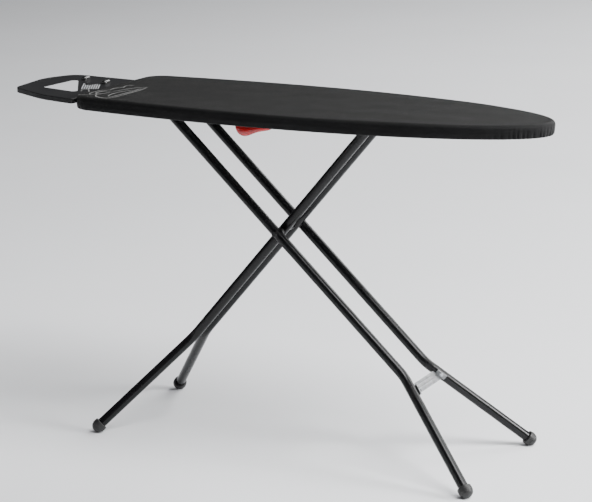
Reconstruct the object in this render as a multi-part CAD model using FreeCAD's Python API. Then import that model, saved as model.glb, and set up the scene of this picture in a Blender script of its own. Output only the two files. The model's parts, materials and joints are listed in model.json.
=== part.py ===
import FreeCAD, Part
import math
import os

# Ironing board on a folding cross-leg stand.  Millimetres, +Z up, +X towards the pointed nose,
# -Y the side with the height lever.  Z = 0 is the floor.  The parts are drawn with X = 0 at the
# board's widest place and written out with X = 0 under the middle of the whole length.
#
# Side view: the outer leg hangs from a fixed hinge under the heel, the inner leg's top rod slides
# in the rack rail, and one axle joins the two legs where they cross.

Vec = FreeCAD.Vector

# ---------------------------------------------------------------- driving dimensions
MIDDLE_X = 15.9             # middle of the whole length, iron rest included
TOP_Z = 771.0               # ironing surface above the floor
COVER_HEEL_X = -402.0       # square end of the cover
COVER_NOSE_X = 662.0        # pointed end of the cover
COVER_HALF_WIDTH = 202.0    # at the widest place, X = 0
HEEL_TAPER = 26.0           # half-width lost between X = 0 and the heel
NOSE_POWER = 1.96           # 2 would be an ellipse
HEEL_CORNER_R = 50.0
SKIRT = 29.5                # height of the cover's side
FABRIC = 1.5
EDGE_R = 8.0                # round upper edge of the cover
HEM_WIDTH = 26.0            # cover turned in under the rim

PAD_T = 5.5
MESH_T = 0.8
RIM_FLANGE = 10.0
RIM_WALL = 1.5
RIM_INSET = 5.0             # rim's outer face, inside the cover's side

HINGE_Z = 742.0             # outer leg's hinge and inner leg's sliding rod
PIVOT_X = 52.0              # axle where the legs cross
PIVOT_Z = 484.0
OUTER_ANGLE = 42.55         # degrees above the floor
INNER_ANGLE = 49.85
TUBE_R = 11.0
TUBE_WALL = 1.4
BEND_R = 70.0
OUTER_Y = 58.0              # tube centres above the bend
INNER_Y = 27.5
OUTER_FOOT_Y = 186.0
INNER_FOOT_Y = 180.5
OUTER_BEND_Z = 199.5
INNER_BEND_Z = 211.4
TUBE_TOP = 8.0              # tube beyond its hinge or rod

FOOT_R = 16.0               # domed foot cap
FOOT_Z = 15.6               # its centre: the dome is worn flat on the floor
SLEEVE_R = 15.2
SLEEVE_L = 14.0
CAP_BORE_START = 2.0

AXLE_R = 4.0
ROD_R = 6.0
RUN = 0.05                  # radial clearance of a running fit
SLOT_CLEAR = 3.6            # rod to slot, above and below

RAIL_HALF = 13.0
RAIL_WALL = 2.0
RAIL_X = (-205.0, 528.0)
RAIL_BOTTOM = 727.0
SLOT_X = (202.0, 502.0)
STRAP_T = 2.0
STRAP_W = 26.0
STRAP_XS = (-318.0, -180.0, 95.0, 300.0, 510.0)
HOLE_TOOL = 20.0            # half-length of the round tools that bore the rail

LEVER_X = 130.0             # lever rod's axis
LEVER_Z = 748.0
LEVER_ROD_R = 3.0
LEVER_Y = -130.0            # grip and arm
RACK_PIVOT = (450.0, 726.0)
RACK_HEEL_X = 168.0
RACK_TOP = 732.0
RACK_PIN_R = 2.5
RACK_NOTCHES = 8
RACK_FIRST_X = 213.0
RACK_PITCH = 19.3

REST_TOP_Z = 762.0
REST_DEPTH = 11.0
REST_T = 1.2
ARM_R = 4.5
ARM_Z = 754.4
ARM_YS = (-100.0, 100.0)
ARM_X = (-546.0, -306.0)

MESH_TOP = TOP_Z - FABRIC - PAD_T
MESH_BOTTOM = MESH_TOP - MESH_T
STRAP_BOTTOM = MESH_BOTTOM - STRAP_T
COVER_BOTTOM = TOP_Z - SKIRT

os.makedirs("parts", exist_ok=True)


# ---------------------------------------------------------------- helpers
def save(node, shape):
    placed = shape.copy()
    placed.translate(Vec(-MIDDLE_X, 0, 0))
    placed.exportStep("parts/" + node + ".step")
    print(node, "solids", len(shape.Solids), "valid", shape.isValid(), "volume", round(shape.Volume))


def rod(start, end, radius):
    """A round bar between two points."""
    axis = end - start
    return Part.makeCylinder(radius, axis.Length, start, axis)


def bar_y(x, z, radius, y_low, y_high):
    """A round bar along Y."""
    return Part.makeCylinder(radius, y_high - y_low, Vec(x, y_low, z), Vec(0, 1, 0))


def box(x, y, z):
    """A block between the two ends of each range."""
    return Part.makeBox(x[1] - x[0], y[1] - y[0], z[1] - z[0], Vec(x[0], y[0], z[0]))


def rounded_wire(points, radii, z=0.0):
    """A closed polygon with an arc of its own radius at each corner."""
    edges = []
    ends = []
    count = len(points)
    for i in range(count):
        here = Vec(points[i][0], points[i][1], z)
        before = Vec(points[i - 1][0], points[i - 1][1], z)
        after = Vec(points[(i + 1) % count][0], points[(i + 1) % count][1], z)
        to_before = (before - here).normalize()
        to_after = (after - here).normalize()
        half = to_before.getAngle(to_after) / 2
        reach = radii[i] / math.tan(half)
        middle = (to_before + to_after).normalize()
        tip = here + middle * (radii[i] / math.sin(half) - radii[i])
        ends.append((here + to_before * reach, tip, here + to_after * reach))
    for i in range(count):
        start, tip, end = ends[i]
        edges.append(Part.Arc(start, tip, end).toShape())
        edges.append(Part.LineSegment(end, ends[(i + 1) % count][0]).toShape())
    return Part.Wire(edges)


def plate(wire, height):
    """A flat solid standing on a closed wire."""
    return Part.Face(wire).extrude(Vec(0, 0, height))


def mirror_y(shape):
    return shape.mirror(Vec(0, 0, 0), Vec(0, 1, 0))


# ---------------------------------------------------------------- the board's outline
def half_width(x, inset):
    """Half the board's width at X: nearly an ellipse to the nose, a shallow curve to the heel."""
    width = COVER_HALF_WIDTH - inset
    if x >= 0:
        return width * math.sqrt(max(0.0, 1 - (x / (COVER_NOSE_X - inset)) ** NOSE_POWER))
    return width - HEEL_TAPER * (x / COVER_HEEL_X) ** 2


def outline(inset, z):
    """The board's closed outline, moved inwards by the inset."""
    heel = COVER_HEEL_X + inset
    radius = HEEL_CORNER_R - inset
    nose = COVER_NOSE_X - inset
    corner_x = heel + radius
    corner_y = half_width(corner_x, inset)
    slope = (half_width(corner_x + 1, inset) - corner_y)
    side_x = [corner_x, -200.0, -80.0]
    nose_steps = 9
    side_x += [nose * math.sin(math.pi / 2 * i / nose_steps) for i in range(nose_steps)]
    points = [Vec(x, half_width(x, inset), z) for x in side_x]
    points += [Vec(nose, 0, z)]
    points += [Vec(p.x, -p.y, z) for p in reversed(points[:-1])]
    tangents = [Vec(1, slope, 0), Vec(-1, slope, 0)]
    side = Part.BSplineCurve()
    side.interpolate(Points=points, InitialTangent=tangents[0], FinalTangent=tangents[1])
    diagonal = radius * math.sqrt(0.5)
    centre_y = corner_y - radius
    edges = [side.toShape()]
    near = (Vec(corner_x, -corner_y, z),
            Vec(corner_x - diagonal, -centre_y - diagonal, z),
            Vec(heel, -centre_y, z))
    far = (Vec(heel, centre_y, z),
           Vec(corner_x - diagonal, centre_y + diagonal, z),
           Vec(corner_x, corner_y, z))
    edges.append(Part.Arc(*near).toShape())
    edges.append(Part.LineSegment(near[2], far[0]).toShape())
    edges.append(Part.Arc(*far).toShape())
    return Part.Wire(edges)


def slab(inset, z_low, z_high):
    return plate(outline(inset, z_low), z_high - z_low)


def round_top_edges(solid, z_top, radius):
    """Round every edge that lies in the top face."""
    edges = [e for e in solid.Edges if abs(e.BoundBox.ZMin - z_top) < 0.01]
    return solid.makeFillet(radius, edges)


# ---------------------------------------------------------------- board
def make_cover():
    outside = round_top_edges(slab(0, COVER_BOTTOM, TOP_Z), TOP_Z, EDGE_R)
    inside = round_top_edges(slab(FABRIC, COVER_BOTTOM + FABRIC, TOP_Z - FABRIC),
                             TOP_Z - FABRIC, EDGE_R - FABRIC)
    opening = slab(HEM_WIDTH, COVER_BOTTOM - 1, COVER_BOTTOM + 2 * FABRIC)
    cover = outside.cut(inside).cut(opening)
    for y in ARM_YS:
        cover = cover.cut(rod(Vec(COVER_HEEL_X - 5, y, ARM_Z), Vec(COVER_HEEL_X + 5, y, ARM_Z), ARM_R + 0.5))
    return cover


def make_hem_elastic():
    """The elastic that runs in the cover's hem."""
    half_t = 1.5
    z = COVER_BOTTOM + FABRIC + 0.2
    ring = slab(HEM_WIDTH - 4, z, z + 2 * half_t)
    return ring.cut(slab(HEM_WIDTH - 1, z - 1, z + 2 * half_t + 1))


def make_pad():
    return slab(FABRIC + EDGE_R, MESH_TOP, TOP_Z - FABRIC)


def make_mesh_top():
    return slab(FABRIC + 1.0, MESH_BOTTOM, MESH_TOP)


def make_rim():
    """Rolled steel rim of L section: a wall behind the skirt and a flange under the mesh."""
    low = COVER_BOTTOM + FABRIC + 0.3
    flange_low = MESH_BOTTOM - RIM_WALL
    ring = slab(RIM_INSET, low, MESH_BOTTOM)
    ring = ring.cut(slab(RIM_INSET + RIM_WALL, low - 1, flange_low))
    ring = ring.cut(slab(RIM_INSET + RIM_FLANGE, flange_low - 1, MESH_BOTTOM + 1))
    for y in ARM_YS:
        ring = ring.cut(rod(Vec(COVER_HEEL_X - 5, y, ARM_Z), Vec(COVER_HEEL_X + 20, y, ARM_Z), ARM_R + RUN))
    return ring


def strap_half(x):
    """Half-length of a cross strap: it ends against the rim's inner face."""
    ends = (x - STRAP_W / 2, x + STRAP_W / 2)
    return min(half_width(end, RIM_INSET + RIM_FLANGE) for end in ends) - 1.0


def make_cross_strap(x):
    y = strap_half(x)
    return box((x - STRAP_W / 2, x + STRAP_W / 2), (-y, y), (STRAP_BOTTOM, MESH_BOTTOM))


def make_rack_rail():
    """Pressed channel: a web under the straps, two walls with the rod's slot, and the pin's ears."""
    walls = box(RAIL_X, (-RAIL_HALF, RAIL_HALF), (RAIL_BOTTOM, STRAP_BOTTOM))
    inner = RAIL_HALF - RAIL_WALL
    channel = (RAIL_BOTTOM - 1, STRAP_BOTTOM - RAIL_WALL)
    rail = walls.cut(box((RAIL_X[0] - 1, RAIL_X[1] + 1), (-inner, inner), channel))
    half_slot = ROD_R + SLOT_CLEAR
    ear_x = (RACK_PIVOT[0] - 8, RACK_PIVOT[0] + 12)
    rail = rail.cut(box(SLOT_X, (-HOLE_TOOL, HOLE_TOOL), (HINGE_Z - half_slot, HINGE_Z + half_slot)))
    for side in (-1, 1):
        y = sorted((side * inner, side * RAIL_HALF))
        rail = rail.fuse(box(ear_x, y, (RACK_PIVOT[1] - 6, RAIL_BOTTOM + 1)))
    rail = rail.removeSplitter()
    rail = rail.cut(bar_y(LEVER_X, LEVER_Z, LEVER_ROD_R + RUN, -HOLE_TOOL, HOLE_TOOL))
    rail = rail.cut(bar_y(RACK_PIVOT[0], RACK_PIVOT[1], RACK_PIN_R + RUN, -HOLE_TOOL, HOLE_TOOL))
    for x in (-120.0, -20.0):
        rail = rail.cut(bar_y(x, HINGE_Z, 8, -HOLE_TOOL, HOLE_TOOL))
    return rail


HINGE_X = PIVOT_X - (HINGE_Z - PIVOT_Z) / math.tan(math.radians(OUTER_ANGLE))
ROD_X = PIVOT_X + (HINGE_Z - PIVOT_Z) / math.tan(math.radians(INNER_ANGLE))
BRACKET_YS = (-86.0, 86.0)
BRACKET_T = 2.0
HINGE_BAR_R = 7.0


def make_hinge_bracket(y):
    """Folded saddle under the mesh that carries one end of the outer leg's hinge bar."""
    foot = box((HINGE_X - 26, HINGE_X + 26), (y - 12, y + 12), (MESH_BOTTOM - BRACKET_T, MESH_BOTTOM))
    cheek = box((HINGE_X - 15, HINGE_X + 15), (y - BRACKET_T, y + BRACKET_T), (HINGE_Z - 12, MESH_BOTTOM))
    bracket = foot.fuse(cheek).removeSplitter()
    return bracket.cut(bar_y(HINGE_X, HINGE_Z, HINGE_BAR_R + RUN, y - 20, y + 20))


def make_lever_bracket():
    """Hanging lug that carries the lever rod near the board's side."""
    y = -104.0
    foot = box((LEVER_X - 12, LEVER_X + 34), (y - 10, y + 10), (MESH_BOTTOM - BRACKET_T, MESH_BOTTOM))
    lug = box((LEVER_X - 8, LEVER_X + 8), (y - 1.5, y + 1.5), (LEVER_Z - 8, MESH_BOTTOM))
    bracket = foot.fuse(lug).removeSplitter()
    return bracket.cut(bar_y(LEVER_X, LEVER_Z, LEVER_ROD_R + RUN, y - 5, y + 5))


def rivet(x, y, z, head_r, length):
    """A rivet with its head below the surface at Z."""
    head = Part.makeCylinder(head_r, 1.6, Vec(x, y, z - 1.6))
    return head.fuse(Part.makeCylinder(head_r / 2, length, Vec(x, y, z))).removeSplitter()


def bored(shape, pins):
    """Holes for a set of rivets or screws."""
    return shape.cut(pins)


def make_bracket_rivets():
    """Two rivets through each hinge bracket's foot and the mesh."""
    pins = []
    for y in BRACKET_YS:
        for dx in (-20, 20):
            pins.append(rivet(HINGE_X + dx, y, MESH_BOTTOM - BRACKET_T, 4.0, BRACKET_T))
    return Part.makeCompound(pins)


def make_rail_rivets():
    """One rivet through the rail's web into each cross strap it hangs from."""
    pins = []
    for x in STRAP_XS[1:]:
        for dx in (-7, 7):
            pins.append(rivet(x + dx, 0, STRAP_BOTTOM - RAIL_WALL, 3.0, RAIL_WALL + STRAP_T))
    return Part.makeCompound(pins)


# ---------------------------------------------------------------- iron rest
REST_END_X = COVER_HEEL_X - 2.5
REST_CORNERS = ((REST_END_X, -165.0), (-500.0, -144.0), (-613.0, -84.0),
                (-634.0, 62.0), (-599.0, 146.0), (REST_END_X, 134.0))
REST_RADII = (6.0, 200.0, 34.0, 130.0, 40.0, 6.0)
WINDOW_CORNERS = ((-558.5, -54.0), (-555.0, 90.0), (-446.0, -79.0))
WINDOW_RADII = (9.0, 9.0, 9.0)
GRILLE_CENTRE = (-468.0, 11.0)
GRILLE_ANGLE = 119.0        # degrees: the slots run nearly alongside the window's long side
GRILLE_PITCH = 5.3
GRILLE_COUNT = 8
SLOT_SIZE = (88.0, 2.4)
BUMPERS = ((-530.0, 84.0), (-457.0, 57.0))
BUMPER_R = 7.0              # half-width of a nub
BUMPER_HALF = 6.0           # half the distance between its two end centres, along Y
BUMPER_H = 9.5
BUMPER_STEM_R = 2.9
REST_CLIP_XS = (-530.0, -430.0)
REST_FAR_DEPTH = 3.5        # the far flange is shallower than the near one
REST_SLOPE_YS = (0.0, 60.0)  # the flange climbs between these


def make_iron_rest():
    """Pressed tray with a turned-down flange all round, an open window and a patch of slots."""
    low = REST_TOP_Z - REST_DEPTH
    outside = plate(rounded_wire(REST_CORNERS, REST_RADII, low), REST_DEPTH)
    outside = round_top_edges(outside, REST_TOP_Z, 1.5)
    hollow_wire = rounded_wire(REST_CORNERS, REST_RADII, low).makeOffset2D(-REST_T)
    rest = outside.cut(plate(hollow_wire, REST_DEPTH - REST_T))
    rest = rest.cut(space_under_far_flange(low - 1))
    rest = rest.cut(plate(rounded_wire(WINDOW_CORNERS, WINDOW_RADII, low - 1), REST_DEPTH + 2))
    for y in ARM_YS:
        rest = rest.cut(rod(Vec(REST_END_X - 5, y, ARM_Z), Vec(REST_END_X + 5, y, ARM_Z), ARM_R + 0.5))
    for x, y in BUMPERS:
        foot = Vec(x, y, REST_TOP_Z - REST_T - 1)
        rest = rest.cut(Part.makeCylinder(BUMPER_STEM_R + 0.1, REST_T + 2, foot))
    return rest.cut(grille_slots())


def space_under_far_flange(low):
    """Everything below a line that climbs across the tray, up to its flange at the board's end."""
    high = REST_TOP_Z - REST_FAR_DEPTH
    start, stop = REST_SLOPE_YS
    left = min(x for x, _ in REST_CORNERS) - 1
    far = max(y for _, y in REST_CORNERS) + 1
    corners = [(start, low), (stop, high), (far, high), (far, low), (start, low)]
    section = Part.Face(Part.makePolygon([Vec(left, y, z) for y, z in corners]))
    return section.extrude(Vec(REST_END_X - 2 * REST_T - left, 0, 0))


def grille_slots():
    """A row of long parallel slots with round ends."""
    slots = []
    length, width = SLOT_SIZE
    angle = math.radians(GRILLE_ANGLE)
    across = Vec(-math.sin(angle), math.cos(angle), 0)
    corners = [(-length / 2, -width / 2), (length / 2, -width / 2),
               (length / 2, width / 2), (-length / 2, width / 2)]
    for i in range(GRILLE_COUNT):
        slot = plate(rounded_wire(corners, [width * 0.49] * 4, REST_TOP_Z - REST_T - 1), REST_T + 2)
        slot.rotate(Vec(0, 0, 0), Vec(0, 0, 1), GRILLE_ANGLE)
        step = across * ((i - (GRILLE_COUNT - 1) / 2) * GRILLE_PITCH)
        slot.translate(Vec(GRILLE_CENTRE[0], GRILLE_CENTRE[1], 0) + step)
        slots.append(slot)
    return Part.makeCompound(slots)


def make_rest_bumpers():
    """Two heat-proof silicone nubs, long in Y and round on top, pushed into the tray."""
    bumpers = []
    for x, y in BUMPERS:
        ends = (y - BUMPER_HALF, y + BUMPER_HALF)
        nub = box((x - BUMPER_R, x + BUMPER_R), ends, (REST_TOP_Z, REST_TOP_Z + BUMPER_H))
        for end in ends:
            nub = nub.fuse(Part.makeCylinder(BUMPER_R, BUMPER_H, Vec(x, end, REST_TOP_Z)))
        nub = round_top_edges(nub.removeSplitter(), REST_TOP_Z + BUMPER_H, BUMPER_R - 0.4)
        stem = Part.makeCylinder(BUMPER_STEM_R, REST_T + 1.5, Vec(x, y, REST_TOP_Z - REST_T - 1.5))
        bumpers.append(nub.fuse(stem).removeSplitter())
    return Part.makeCompound(bumpers)


def make_rest_arm(y):
    """Steel arm from under the iron rest, through the cover and rim, to the heel strap."""
    return rod(Vec(ARM_X[0], y, ARM_Z), Vec(ARM_X[1], y, ARM_Z), ARM_R)


def make_rest_clips():
    """Saddle clips that hold the arms up against the tray."""
    clips = []
    for y in ARM_YS:
        for x in REST_CLIP_XS:
            block = box((x - 8, x + 8), (y - 9, y + 9), (ARM_Z - ARM_R - 1.5, REST_TOP_Z - REST_T))
            clips.append(block.cut(rod(Vec(x - 10, y, ARM_Z), Vec(x + 10, y, ARM_Z), ARM_R + RUN)))
    return Part.makeCompound(clips)


def make_rest_screws():
    """One screw up through each arm's end into the heel strap."""
    screws = []
    for y in ARM_YS:
        screws.append(rivet(STRAP_XS[0], y, ARM_Z - ARM_R - 1.0, 4.0, MESH_BOTTOM - ARM_Z + ARM_R + 1.0))
    return Part.makeCompound(screws)


# ---------------------------------------------------------------- legs
class Leg:
    """One pair of tubes, straight from the side, that splays below a bend."""

    def __init__(self, angle, lean, upper_y, foot_y, bend_z):
        self.down = Vec(lean * math.cos(math.radians(angle)), 0, -math.sin(math.radians(angle)))
        rise = math.sin(math.radians(angle))
        self.pivot = Vec(PIVOT_X, 0, PIVOT_Z)
        self.top = (HINGE_Z - PIVOT_Z) / rise
        self.bend = (PIVOT_Z - bend_z) / rise
        self.foot = (PIVOT_Z - FOOT_Z) / rise
        self.upper_y = upper_y
        self.foot_y = foot_y

    def at(self, along, y):
        """A point this far down the leg from the crossing axle."""
        return self.pivot + self.down * along + Vec(0, y, 0)

    def splay(self):
        """Unit vector down the splayed part of the far tube."""
        return (self.at(self.foot, self.foot_y) - self.at(self.bend, self.upper_y)).normalize()


OUTER = Leg(OUTER_ANGLE, 1, OUTER_Y, OUTER_FOOT_Y, OUTER_BEND_Z)
INNER = Leg(INNER_ANGLE, -1, INNER_Y, INNER_FOOT_Y, INNER_BEND_Z)


def leg_path(leg, end_gap):
    """Centre line of the far tube: straight, one arc, straight."""
    top = leg.at(-leg.top - TUBE_TOP, leg.upper_y)
    corner = leg.at(leg.bend, leg.upper_y)
    splay = leg.splay()
    end = leg.at(leg.foot, leg.foot_y) - splay * end_gap
    turn = leg.down.getAngle(splay)
    reach = BEND_R * math.tan(turn / 2)
    start = corner - leg.down * reach
    stop = corner + splay * reach
    inward = (splay - leg.down).normalize()
    tip = corner + inward * (BEND_R / math.cos(turn / 2) - BEND_R)
    return Part.Wire([Part.LineSegment(top, start).toShape(),
                      Part.Arc(start, tip, stop).toShape(),
                      Part.LineSegment(stop, end).toShape()]), top


def leg_tube(leg):
    """The far tube of a leg, hollow, with its axle and rod holes."""
    path, top = leg_path(leg, CAP_BORE_START + 0.5)
    walls = []
    for radius in (TUBE_R, TUBE_R - TUBE_WALL):
        circle = Part.Wire(Part.makeCircle(radius, top, leg.down))
        walls.append(path.makePipeShell([circle], True, False))
    tube = walls[0].cut(walls[1])
    tube = tube.cut(bar_y(PIVOT_X, PIVOT_Z, AXLE_R + RUN, 0, 120))
    top_hole = HINGE_BAR_R if leg is OUTER else ROD_R
    hinge = leg.at(-leg.top, 0)
    return tube.cut(bar_y(hinge.x, hinge.z, top_hole, 0, 120))


def foot_cap(leg):
    """Domed cap on the far tube: a short cup over its end and a ball worn flat on the floor."""
    centre = leg.at(leg.foot, leg.foot_y)
    back = leg.splay() * -1
    cap = Part.makeSphere(FOOT_R, centre)
    sleeve = Part.makeCylinder(SLEEVE_R, SLEEVE_L, centre, back)
    above = Part.makeCylinder(2 * FOOT_R, FOOT_R, centre + back * SLEEVE_L, back)
    cap = cap.cut(above).fuse(sleeve).removeSplitter()
    bore = Part.makeCylinder(TUBE_R, SLEEVE_L, centre + back * CAP_BORE_START, back)
    floor = box((centre.x - 40, centre.x + 40), (centre.y - 40, centre.y + 40), (-40, 0))
    return cap.cut(bore).cut(floor)


def make_hinge_bar():
    """Bar through the outer tubes' tops that turns in the two brackets."""
    half = BRACKET_YS[1] + 8
    return bar_y(HINGE_X, HINGE_Z, HINGE_BAR_R, -half, half)


def make_hinge_clips():
    """Push-on retaining rings at the hinge bar's ends."""
    rings = []
    for sign in (-1, 1):
        y = sign * (BRACKET_YS[1] + 5.5)
        ring = bar_y(HINGE_X, HINGE_Z, HINGE_BAR_R + 4, y - 1, y + 1)
        rings.append(ring.cut(bar_y(HINGE_X, HINGE_Z, HINGE_BAR_R, y - 3, y + 3)))
    return Part.makeCompound(rings)


BRACE_BELOW_BEND = 37.0     # how far down the leg from the bend the tie sits
BRACE_W = 25.0
BRACE_T = 1.6
BRACE_TAB_H = 11.0          # height of the tab that lies on each tube
BRACE_SCREW_Z = 6.0
BRACE_SCREW_R = 2.0
BRACE_RIBS = (-8.0, 0.0, 8.0)
BRACE_RIB_R = 2.6
BRACE_RIB_HALF = 44.0
BRACE_HOLE_Y = 53.0
BRACE_SCREW_HEAD = (4.5, 2.2)


def in_leg_frame(shape, leg, along):
    """Carry a shape drawn at the origin (X down the leg, Z off its face) to its place on a leg."""
    face = Vec(leg.down.z * -1, 0, leg.down.x)
    turn = FreeCAD.Rotation(leg.down, Vec(0, 1, 0), face, "XYZ")
    placed = shape.copy()
    placed.Placement = FreeCAD.Placement(leg.at(along, 0), turn)
    return placed


def against_tube(shape, side):
    """Turn a shape drawn on the X axis to lie along a splayed outer tube's inner side."""
    splay = OUTER.splay()
    slope = math.atan2(splay.y, splay.dot(OUTER.down))
    tube_y = OUTER_Y + BRACE_BELOW_BEND * math.tan(slope)
    placed = shape.copy()
    placed.rotate(Vec(0, 0, 0), Vec(0, 0, 1), math.degrees(slope))
    placed.translate(Vec(0, tube_y, 0))
    return placed if side > 0 else mirror_y(placed)


def make_brace():
    """Ribbed pressed-steel tie between the splayed outer tubes, with a tab against each."""
    half = BRACE_W / 2
    tab_y = -TUBE_R - 0.1
    tie = box((-half, half), (-OUTER_Y - TUBE_R, OUTER_Y + TUBE_R), (-BRACE_T / 2, BRACE_T / 2))
    for side in (-1, 1):
        beyond = box((-2 * BRACE_W, 2 * BRACE_W), (tab_y - BRACE_T / 2, 2 * TUBE_R), (-TUBE_R, TUBE_R))
        tab = box((-half, half), (tab_y - BRACE_T, tab_y), (-BRACE_T / 2, BRACE_TAB_H))
        tab = tab.cut(bar_y(0, BRACE_SCREW_Z, BRACE_SCREW_R + RUN, tab_y - 5, tab_y + 5))
        tie = tie.cut(against_tube(beyond, side)).fuse(against_tube(tab, side))
        tie = tie.cut(Part.makeCylinder(3.2, 10, Vec(0, side * BRACE_HOLE_Y, -5)))
    for x in BRACE_RIBS:
        rib = Part.makeCylinder(BRACE_RIB_R, 2 * BRACE_RIB_HALF, Vec(x, -BRACE_RIB_HALF, 0), Vec(0, 1, 0))
        rib = rib.common(box((x - 5, x + 5), (-BRACE_RIB_HALF, BRACE_RIB_HALF), (0, BRACE_RIB_R)))
        tie = tie.fuse(rib)
    return in_leg_frame(tie.removeSplitter(), OUTER, OUTER.bend + BRACE_BELOW_BEND)


def make_brace_screws():
    """One screw through each tab of the tie, with its head on the inner side."""
    radius, height = BRACE_SCREW_HEAD
    screws = []
    for side in (-1, 1):
        inner = -TUBE_R - 0.1 - BRACE_T
        head = bar_y(0, BRACE_SCREW_Z, radius, inner - height, inner)
        shank = bar_y(0, BRACE_SCREW_Z, BRACE_SCREW_R, inner, inner + BRACE_T)
        screws.append(against_tube(head.fuse(shank).removeSplitter(), side))
    return in_leg_frame(Part.makeCompound(screws), OUTER, OUTER.bend + BRACE_BELOW_BEND)


AXLE_HEAD_R = 7.5
AXLE_HEAD_H = 2.6


def make_axle():
    """Crossing axle with a low tapered head at each end."""
    half = OUTER_Y + TUBE_R + 0.4
    axle = bar_y(PIVOT_X, PIVOT_Z, AXLE_R, -half, half)
    for sign in (-1, 1):
        head = Part.makeCone(AXLE_HEAD_R, AXLE_HEAD_R - AXLE_HEAD_H, AXLE_HEAD_H,
                             Vec(PIVOT_X, sign * half, PIVOT_Z), Vec(0, sign, 0))
        axle = axle.fuse(head)
    return axle.removeSplitter()


def ring_y(x, z, inner, outer, y):
    """A ring round a bar along Y."""
    y = sorted(y)
    return bar_y(x, z, outer, y[0], y[1]).cut(bar_y(x, z, inner, y[0] - 1, y[1] + 1))


SADDLE = 2.0                # how far a spacer's hollowed end reaches round a tube


def upper_tube_blank(leg, side):
    """The solid round bar that a leg's straight upper tube fills near the axle."""
    y = side * leg.upper_y
    return rod(leg.at(-40, y), leg.at(40, y), TUBE_R)


def make_axle_spacers():
    """Nylon spacers on the axle between each inner tube and outer tube."""
    gap = (INNER_Y + TUBE_R - SADDLE, OUTER_Y - TUBE_R - 0.3)
    rings = []
    for sign in (-1, 1):
        ring = ring_y(PIVOT_X, PIVOT_Z, AXLE_R, 8.0, (sign * gap[0], sign * gap[1]))
        rings.append(ring.cut(upper_tube_blank(INNER, sign)))
    return Part.makeCompound(rings)


def make_centre_sleeve():
    """Steel sleeve on the axle between the two inner tubes."""
    half = INNER_Y - TUBE_R + SADDLE
    sleeve = ring_y(PIVOT_X, PIVOT_Z, AXLE_R, 6.0, (-half, half))
    return sleeve.cut(upper_tube_blank(INNER, 1)).cut(upper_tube_blank(INNER, -1))


def make_slide_rod():
    """Rod between the inner tubes' tops that slides in the rack rail."""
    half = INNER_Y + TUBE_R + 3
    return bar_y(ROD_X, HINGE_Z, ROD_R, -half, half)


def make_guide_washers():
    """Nylon washers on the sliding rod, each side of the rail."""
    rings = []
    for sign in (-1, 1):
        rings.append(ring_y(ROD_X, HINGE_Z, ROD_R, 9.0, (sign * (RAIL_HALF + 0.5), sign * (RAIL_HALF + 2.5))))
    return Part.makeCompound(rings)


# ---------------------------------------------------------------- height lever and rack
def lever_points():
    """The bent rod's corners: finger tip, axis inside the rail, axis at the side, arm end."""
    return (Vec(192, -4, 736.2), Vec(LEVER_X, -4, LEVER_Z),
            Vec(LEVER_X, LEVER_Y, LEVER_Z), Vec(70, LEVER_Y, 730))


def make_lever_rod():
    points = lever_points()
    lever = Part.makeSphere(LEVER_ROD_R, points[0])
    for start, end in zip(points, points[1:]):
        lever = lever.fuse(rod(start, end, LEVER_ROD_R)).fuse(Part.makeSphere(LEVER_ROD_R, end))
    return lever.removeSplitter()


# Grip sections from the arm to the finger end: X, centre Z, half-width and half-height.
GRIP_SECTIONS = ((77.0, 732.0, 4.4, 4.6), (56.0, 728.2, 7.2, 6.6), (35.0, 724.0, 9.0, 9.2),
                 (14.0, 719.5, 9.6, 11.6), (2.0, 721.0, 8.6, 10.4), (-5.0, 724.5, 5.8, 7.2),
                 (-8.5, 727.0, 2.4, 3.0))


def make_lever_grip():
    """Wedge of moulded plastic, lofted through oval sections and deepest near its finger end."""
    wires = []
    for x, z, half_y, half_z in GRIP_SECTIONS:
        ellipse = Part.Ellipse(Vec(0, 0, 0), max(half_y, half_z), min(half_y, half_z))
        wire = Part.Wire(ellipse.toShape())
        wire.rotate(Vec(0, 0, 0), Vec(0, 1, 0), 90)
        if half_y > half_z:
            wire.rotate(Vec(0, 0, 0), Vec(1, 0, 0), 90)
        wire.translate(Vec(x, LEVER_Y, z))
        wires.append(wire)
    grip = Part.makeLoft(wires, True, False)
    return grip.cut(make_lever_rod_hole())


def make_lever_rod_hole():
    points = lever_points()
    return rod(points[2], points[3], LEVER_ROD_R).fuse(Part.makeSphere(LEVER_ROD_R, points[3]))


def make_rack():
    """Notched bar below the sliding rod, hinged at its nose end."""
    bar = box((RACK_HEEL_X, RACK_PIVOT[0] + 8), (-1.5, 1.5), (RACK_TOP - 11, RACK_TOP))
    for i in range(RACK_NOTCHES):
        x = RACK_FIRST_X + i * RACK_PITCH
        bar = bar.cut(Part.makeCylinder(5.0, 10, Vec(x, -5, RACK_TOP + 1.5), Vec(0, 1, 0)))
    ear = box((RACK_HEEL_X, RACK_HEEL_X + 10), (-1.5, 9), (RACK_TOP - 8, RACK_TOP - 6))
    bar = bar.fuse(ear).removeSplitter()
    return bar.cut(bar_y(RACK_PIVOT[0], RACK_PIVOT[1], RACK_PIN_R + RUN, -5, 5))


def make_rack_pin():
    half = RAIL_HALF + 2
    pin = bar_y(RACK_PIVOT[0], RACK_PIVOT[1], RACK_PIN_R, -half, half)
    for sign in (-1, 1):
        y = sorted((sign * half, sign * (half + 1.5)))
        pin = pin.fuse(bar_y(RACK_PIVOT[0], RACK_PIVOT[1], RACK_PIN_R + 1.5, y[0], y[1]))
    return pin.removeSplitter()


def helix_coil(radius, wire_r, pitch, turns, base):
    """A coil of round wire standing along Z on its base point."""
    path = Part.makeHelix(pitch, pitch * turns, radius)
    circle = Part.Wire(Part.makeCircle(wire_r, Vec(radius, 0, 0), Vec(0, 1, 0)))
    coil = Part.Wire(path).makePipeShell([circle], True, True)
    coil.translate(base)
    return coil


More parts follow.
